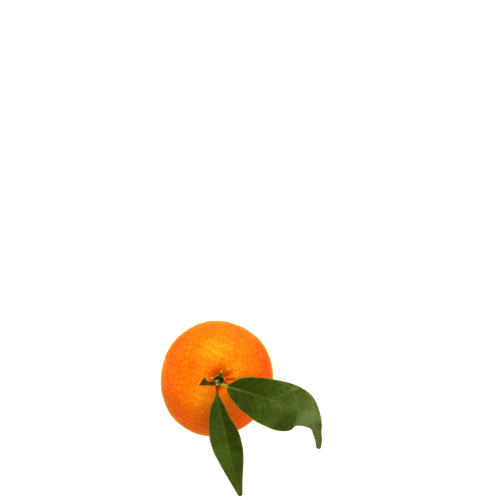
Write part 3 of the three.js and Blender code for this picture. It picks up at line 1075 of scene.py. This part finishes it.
def front_leaf() -> Leaf:
    """Describe the narrow leaf, folded along its midrib.

    Returns:
        The leaf, ready to build.
    """
    return Leaf(
        node="leaf_front",
        steps=230,
        columns=76,
        tip_length=1.6,
        seed=33,
        finish=LeafFinish(
            "leaf_green_narrow",
            # The petiole's brown-orange stands in for painted shade and painted reflection of the rind.
            petiole=(0.12, 0.045, 0.003),
            tip=(0.06, 0.09, 0.008),
            tip_share=0.3,
            # Lighter towards the tip, partly painted light.
            far_tone_and_light=0.3,
            light=(0.05, 0.1, 0.006),
            gloss=0.14,
        ),
        ribs=(
            Rib((0.85, -2.95, 50.6), 0.6, 0.65),
            Rib((0.9, -6.6, 51.4), 0.65, 0.7, fold=14),
            Rib((1.3, -9.8, 51.5), 1.9, 2.8, fold=16),
            Rib((1.9, -13.0, 51.2), 3.0, 5.1, fold=17),
            Rib((3.3, -19.0, 49.8), 4.3, 7.4, fold=17),
            Rib((5.1, -26.3, 46.9), 6.6, 8.7, fold=16),
            Rib((6.5, -34.1, 42.4), 7.2, 7.9, fold=15),
            Rib((7.8, -40.4, 38.0), 6.3, 6.4, fold=15),
            Rib((9.1, -46.0, 33.7), 4.9, 5.1, fold=13),
            Rib((10.6, -53.0, 28.0), 3.1, 3.2, fold=11),
            Rib((12.5, -61.2, 21.5), 1.1, 1.0, fold=8),
        ),
        waves=(Wave(1, 5.3, 1.2, 0.7), Wave(-1, 4.2, 1.0, -0.5)),
        # Painted shade near the root and on one half of the fold, painted highlight farther out.
        painted_shading=(
            PaintedShading(3.9, 0.5, 0.9, 0.6, -0.9),
            PaintedShading(6.3, 0.5, 1.3, 0.6, 0.5),
            PaintedShading(4.5, -0.6, 2.5, 0.6, -0.3),
        ),
    )


def torn_leaf() -> Leaf:
    """Describe the stub that is left of a third leaf.

    Returns:
        The leaf, ready to build.
    """
    return Leaf(
        node="leaf_torn",
        steps=70,
        columns=48,
        seed=45,
        tip_across=2.4,
        finish=LeafFinish(
            "leaf_green_torn",
            petiole=(0.035, 0.022, 0.002),
            tip=(0.26, 0.3, 0.008),
            tip_share=0.9,
            dark=(0.02, 0.013, 0.0005),
            mid=(0.034, 0.032, 0.001),
            light=(0.06, 0.07, 0.002),
            gloss=0.12,
        ),
        ribs=(
            Rib((-0.75, -1.25, 51.4), 0.9, 0.9),
            Rib((-2.4, -1.15, 51.9), 1.05, 1.1, fold=6),
            Rib((-3.9, -1.2, 52.2), 1.0, 1.35, fold=8, slant=-10),
            Rib((-5.3, -1.25, 52.4), 0.95, 2.3, fold=8, slant=-22),
            Rib((-6.6, -1.3, 52.5), 0.95, 4.2, fold=8, slant=-28),
            Rib((-7.9, -1.25, 52.5), 1.0, 4.9, fold=8, slant=-31),
        ),
    )


# The calyx and the stem


@dataclass(frozen=True)
class Sepal:
    """One point of the star: which way it points, in degrees, and how far its tip is from the middle."""

    angle: float
    reach: float


@dataclass(frozen=True)
class DryFinish:
    """A dry matte skin between green and tan, for the calyx and the stem.

    Layers are the colours that go over it, each with the name of the mesh's value that shows it.
    """

    name: str
    green: Rgb
    dark: Rgb
    tan: Rgb
    layers: tuple[tuple[str, Rgb], ...]
    stretch: Triple = (1.0, 1.0, 1.0)
    tone_contrast: float = 1.8
    dry_contrast: float = 0.8
    shine: Rgb = (1.0, 0.95, 0.4)
    streak_depth: float = 0.12
    fine_grain: Grain = Grain(0.22)
    fine_depth: float = 0.04

    def material(self) -> Material:
        """Make the material, which reads what the mesh says of dry edges and of each layer.

        Returns:
            The material.
        """
        sheet = NodeSheet(self.name)
        streak = sheet.noise(Grain(1.1, 1.0, 4.0, self.stretch))
        tone = sheet.add(0.5, sheet.math("MULTIPLY", streak, self.tone_contrast), clamp=True)
        color = sheet.over(tone, self.dark, self.green)
        dry = sheet.math("MULTIPLY", streak, self.dry_contrast)
        color = sheet.over(sheet.add(sheet.mask("dry"), dry, clamp=True), color, self.tan)
        for name, layer in self.layers:
            color = sheet.over(sheet.mask(name), color, layer)
        sheet.set(base_color=color, roughness=0.68, specular_ior_level=0.12, specular_tint=self.shine)
        sheet.bump(streak, self.streak_depth)
        sheet.bump(sheet.noise(self.fine_grain), self.fine_depth)
        return sheet.material


@dataclass(frozen=True)
class Calyx:
    """A star of sepals in the hollow, with a button that the stem stands on."""

    fruit: Fruit
    sepals: tuple[Sepal, ...] = (
        Sepal(2, 3.7),
        Sepal(75, 5.2),
        Sepal(167, 4.3),
        Sepal(238, 3.7),
        Sepal(308, 3.4),
    )
    notch_radius: float = 2.4
    sharpness: float = 2.2
    thickness: float = 0.9
    tip_thickness: float = 0.45
    keel: float = 0.22
    lift: float = 0.6
    sink: float = 0.25
    button_radius: float = 2.0
    button_rise: float = 0.35
    fit_gap: float = 0.3
    footing: float = 0.4
    shade_side: Pair = (0.7, 0.1)
    shade_radius: float = 1.3
    shade_share: float = 0.7
    roughness: Unevenness = Unevenness(71, 1.1)
    sides: int = 200
    rings: int = 34
    finish: DryFinish = DryFinish(
        "calyx_green",
        green=(0.1, 0.1, 0.006),
        dark=(0.014, 0.012, 0.001),
        tan=(0.6, 0.42, 0.08),
        layers=(("shade", (0.006, 0.008, 0.0006)),),
    )

    def star(self, angle: Array) -> tuple[Array, Array]:
        """Work out the star's outline.

        Args:
            angle: Directions from the crown's middle, in radians.

        Returns:
            How far the star reaches in each one, and how near that is to the middle of a sepal, from 0 to 1.
        """
        turn = np.degrees(angle) % 360.0
        angles = np.array([sepal.angle for sepal in self.sepals], dtype=float)
        angles = np.concatenate([angles[-1:] - 360.0, angles, angles[:1] + 360.0])
        reaches = np.array([sepal.reach for sepal in self.sepals])
        reaches = np.concatenate([reaches[-1:], reaches, reaches[:1]])
        after = np.clip(np.searchsorted(angles, turn), 1, len(angles) - 1)
        share = (turn - angles[after - 1]) / (angles[after] - angles[after - 1])
        ridge = np.abs(2.0 * share - 1.0)
        reach = np.where(share < 0.5, reaches[after - 1], reaches[after])
        return mix(self.notch_radius, reach, ridge**self.sharpness), ridge

    def rind_clear(self, points: Array) -> Array:
        """Work out a height that clears the rind at each point and close round it.

        Args:
            points: The points, whose own heights don't count.

        Returns:
            The heights.
        """
        around = np.arange(6) * math.pi / 3.0
        height = self.fruit.crown_height(points)
        for shift in round_axis(around, self.footing, np.zeros(6)):
            height = np.maximum(height, self.fruit.crown_height(points + shift))
        return height + self.fit_gap

    @property
    def button_top(self) -> float:
        """How high the button's level top is."""
        return float(self.rind_clear(np.array([*self.fruit.crown, 0.0]))) + self.thickness + self.button_rise

    def build(self) -> Object:
        """Make the calyx.

        Returns:
            The dressed piece.
        """
        angle = np.linspace(0.0, 2.0 * math.pi, self.sides, endpoint=False)
        reach, near = self.star(angle)
        share = np.sin(np.linspace(0.02, math.pi / 2.0, self.rings))[:, None]
        out = reach * share
        plan = round_axis(angle, out, np.zeros_like(out)) + np.array([*self.fruit.crown, 0.0])
        rough = self.roughness.at(plan)
        low = self.rind_clear(plan) - self.sink + self.lift * (near * share**2) ** 2
        thick = mix(self.thickness, self.tip_thickness, share**2) + 0.06 * rough * smooth(share, 0.2, 0.5)
        keel = self.keel * bell(1.0 - near, 0.22) * smooth(share, 0.4, 0.7) * smooth(share, 1.0, 0.85)
        rounded = np.sqrt(np.maximum(0.0, 1.0 - share**14))
        button = self.button_top - 0.02 + 0.05 * rough * smooth(share, 0.1, 0.5)
        slope = smooth(out, self.button_radius * 0.9, self.button_radius * 1.5)
        top = np.maximum(mix(button, low + (thick + keel) * rounded, slope), low + 0.02)
        up = np.array([0.0, 0.0, 1.0])
        under, over = (plan + height[..., None] * up for height in (low, top))
        points = np.concatenate([under[:-1], over[::-1]])
        dry = np.maximum(0.8 * smooth(share, 0.87, 0.97), smooth(share * near, 0.55, 0.85))
        middle = tuple(plan[..., :2].mean(axis=(0, 1)) + self.shade_side)
        masks = {
            "dry": np.concatenate([dry[:-1], dry[::-1]]),
            "shade": self.shade_share * bell(away(points, middle), self.shade_radius),
        }
        faces = capped_tube_faces(len(points), self.sides)
        piece = make_mesh("calyx_star", points, faces, masks)
        return finish_piece(piece, "calyx", self.finish.material())


@dataclass(frozen=True)
class CutRing:
    """A ring of the cut end: how far out it is, as a share, how far it is sunk and how dark it is."""

    share: float
    drop: float
    rim: float = 0.0


@dataclass(frozen=True)
class Stem:
    """A short leaning stalk with a knot on the side that bears the leaves, and a cut end."""

    calyx: Calyx
    length: float = 6.0
    radius: float = 1.3
    foot_flare: float = 0.5
    lean: Pair = (-1.0, -1.1)
    knot: float = 0.6
    knot_at: float = 0.7
    inset: float = 0.06
    rib_count: float = 11.0
    rib_depth: float = 0.05
    roughness: Unevenness = Unevenness(81, 1.2, 0.07)
    cut_rings: tuple[CutRing, ...] = (
        CutRing(0.86, 0.02, 0.8),
        CutRing(0.7, 0.1, 0.1),
        CutRing(0.5, 0.05),
        CutRing(0.3, 0.08),
        CutRing(0.14, 0.16, 0.5),
    )
    edge_rim: float = 0.6
    nubs: tuple[Pair, ...] = ((0.5, 0.1), (0.7, -1.47))
    nub_radius: float = 0.42
    nub_rise: float = 0.22
    young_spot: Triple = (2.2, -1.9, 51.9)
    young_spread: float = 1.1
    young_share: float = 0.9
    sides: int = 96
    steps: int = 70
    finish: DryFinish = DryFinish(
        "stem_bark",
        green=(0.07, 0.09, 0.008),
        dark=(0.02, 0.024, 0.002),
        tan=(0.3, 0.26, 0.09),
        layers=(
            ("cut", (0.07, 0.072, 0.006)),
            ("cut_rim", (0.045, 0.05, 0.006)),
            ("shade", (0.006, 0.008, 0.0006)),
            ("young", (0.26, 0.3, 0.012)),
            ("nub", (0.68, 0.56, 0.2)),
        ),
        stretch=(1.0, 1.0, 0.25),
    )

    def build(self) -> Object:
        """Make the stem.

        Returns:
            The dressed piece.
        """
        foot = np.array([*self.calyx.fruit.crown, self.calyx.button_top - 0.1])
        share = np.linspace(0.0, 1.0, self.steps)
        bend = 1.0 - (1.0 - share) ** 2
        rise = (self.length + self.calyx.fit_gap + 0.05) * share
        middle = foot + np.stack([self.lean[0] * bend, self.lean[1] * bend, rise], axis=-1)
        angle = np.linspace(0.0, 2.0 * math.pi, self.sides, endpoint=False)
        along, turn = np.meshgrid(share, angle, indexing="ij")
        facing = np.maximum(0.0, np.cos(turn + math.pi / 2.0))
        knot = self.knot * facing * bell(along - self.knot_at, 0.2)
        ribs = self.rib_depth * np.sin(self.rib_count * turn + 1.5 * np.sin(3.0 * along))
        ribs = ribs + self.roughness.at(round_axis(turn, self.radius, along * 1.6))
        out = self.radius + self.foot_flare * bell(along, 0.25) + knot - self.inset + ribs
        out = out * mix(1.0, 0.94, smooth(along, 0.96, 1.0))
        rings = middle[:, None] + round_axis(turn, out, np.zeros_like(out))
        cap = [mix(middle[-1], rings[-1], ring.share) - [0.0, 0.0, ring.drop] for ring in self.cut_rings]
        points = np.concatenate([rings, np.stack(cap)])
        end = middle[-1, 2]
        high = smooth(points[..., 2], end - 0.7, end - 0.3)
        nub = sum(high * bell(away(points, spot), self.nub_radius) for spot in self.nubs)
        points[..., 2] += self.nub_rise * nub
        young = bell(np.linalg.norm(points - np.array(self.young_spot), axis=-1), self.young_spread)
        bark, cut = np.zeros(self.steps), np.zeros(len(cap))
        masks = {
            "dry": [*(0.5 * smooth(share, 0.9, 1.0)), *cut],
            "cut": [*bark, *(cut + 1.0)],
            "cut_rim": [*bark[1:], self.edge_rim, *(ring.rim for ring in self.cut_rings)],
            "shade": [*(0.9 * smooth(share, 0.6, 0.2)), *cut],
        }
        masks = {name: np.repeat(values, self.sides) for name, values in masks.items()}
        masks |= {"nub": smooth(nub, 0.3, 0.8), "young": self.young_share * young}
        faces = capped_tube_faces(len(points), self.sides)
        piece = make_mesh("stem_stalk", points, faces, masks)
        return finish_piece(piece, "stem", self.finish.material())


# The studio


@dataclass(frozen=True)
class Softbox:
    """A soft square light that faces the fruit. Its distance and size are in metres, its power in watts."""

    name: str
    azimuth: float
    elevation: float
    distance: float
    size: float
    power: float

    def build(self, target: Vector) -> None:
        """Add the light.

        Args:
            target: The point that it faces, in metres.
        """
        light = bpy.data.lights.new(self.name, "AREA")
        light.shape = "SQUARE"
        light.size = self.size
        light.energy = self.power
        holder = bpy.data.objects.new(self.name, light)
        around, up = math.radians(self.azimuth), math.radians(self.elevation)
        back = Vector((math.cos(around) * math.cos(up), math.sin(around) * math.cos(up), math.sin(up)))
        holder.location = target + back * self.distance
        holder.rotation_euler = back.to_track_quat("Z", "Y").to_euler()
        bpy.context.scene.collection.objects.link(holder)


@dataclass(frozen=True)
class Studio:
    """The pale floor, the white dome round it, the lights and the camera, which looks straight down."""

    target: Triple = (0.0, 0.0, 25.0)
    camera_place: Triple = (17.4, 66.4, 1250.0)
    widest_height: float = 24.0
    pixels_per_mm: float = 1.933
    image_pixels: int = 500
    sensor: float = 36.0
    clip_end: float = 30000.0
    world_light: float = 0.8
    floor_half_width: float = 5000.0
    floor_height: float = -0.05
    floor_color: Rgb = (0.55, 0.55, 0.55)
    floor_glow: float = 0.63
    backdrop_radius: float = 6000.0
    backdrop_glow: float = 1.1
    lights: tuple[Softbox, ...] = (
        Softbox("key", 88.0, 34.0, 0.75, 0.36, 4.5),
        Softbox("side", -28.0, 30.0, 0.8, 0.6, 3.2),
    )

    def build(self) -> None:
        """Add the floor, the backdrop, the world's light, the softboxes and the camera."""
        self.floor()
        self.backdrop()
        world = bpy.data.worlds.new("studio")
        world.use_nodes = True
        background = world.node_tree.nodes["Background"]
        background.inputs["Color"].default_value = (*WHITE, 1.0)
        background.inputs["Strength"].default_value = self.world_light
        world.cycles_visibility.glossy = False
        bpy.context.scene.world = world
        bpy.context.scene.view_settings.view_transform = "Standard"
        for light in self.lights:
            light.build(Vector(self.target) * MM)
        self.camera()

    def floor(self) -> None:
        """Add the floor, just under what the fruit stands on."""
        corners = np.array([[-1, -1, 0], [1, -1, 0], [1, 1, 0], [-1, 1, 0]]) * self.floor_half_width
        corners[:, 2] = self.floor_height
        floor = make_mesh("floor", corners, [(0, 1, 2, 3)], {})
        sheet = NodeSheet("floor_white")
        sheet.set(base_color=self.floor_color, roughness=0.9, specular_ior_level=0.1)
        sheet.set(emission_color=WHITE, emission_strength=self.floor_glow)
        floor.data.materials.append(sheet.material)
        floor.visible_glossy = False

    def backdrop(self) -> None:
        """Add the white dome round the floor, which gives no light and casts no shadow."""
        mesh = bpy.data.meshes.new("backdrop")
        dome = bmesh.new()
        bmesh.ops.create_uvsphere(dome, u_segments=48, v_segments=24, radius=self.backdrop_radius * MM)
        dome.to_mesh(mesh)
        dome.free()
        backdrop = bpy.data.objects.new("backdrop", mesh)
        bpy.context.scene.collection.objects.link(backdrop)
        sheet = NodeSheet("backdrop_white")
        sheet.set(base_color=BLACK, specular_ior_level=0.0)
        sheet.set(emission_color=WHITE, emission_strength=self.backdrop_glow)
        mesh.materials.append(sheet.material)
        for ray in ("diffuse", "glossy", "transmission", "shadow"):
            setattr(backdrop, f"visible_{ray}", False)

    def camera(self) -> None:
        """Add the camera, framed as the photograph is."""
        data = bpy.data.cameras.new("camera")
        data.sensor_width = self.sensor
        drop = self.camera_place[2] - self.widest_height
        data.lens = self.sensor * self.pixels_per_mm * drop / self.image_pixels
        data.clip_end = self.clip_end * MM
        holder = bpy.data.objects.new("camera", data)
        holder.location = Vector(self.camera_place) * MM
        bpy.context.scene.collection.objects.link(holder)
        bpy.context.scene.camera = holder


def main() -> None:
    """Build the mandarin and the studio."""
    logging.basicConfig(level=logging.INFO, format="%(name)s: %(message)s")
    Studio().build()
    fruit = Fruit()
    calyx = Calyx(fruit)
    for part in (fruit, calyx, Stem(calyx), right_leaf(), front_leaf(), torn_leaf()):
        part.build()


if __name__ == "__main__":
    main()
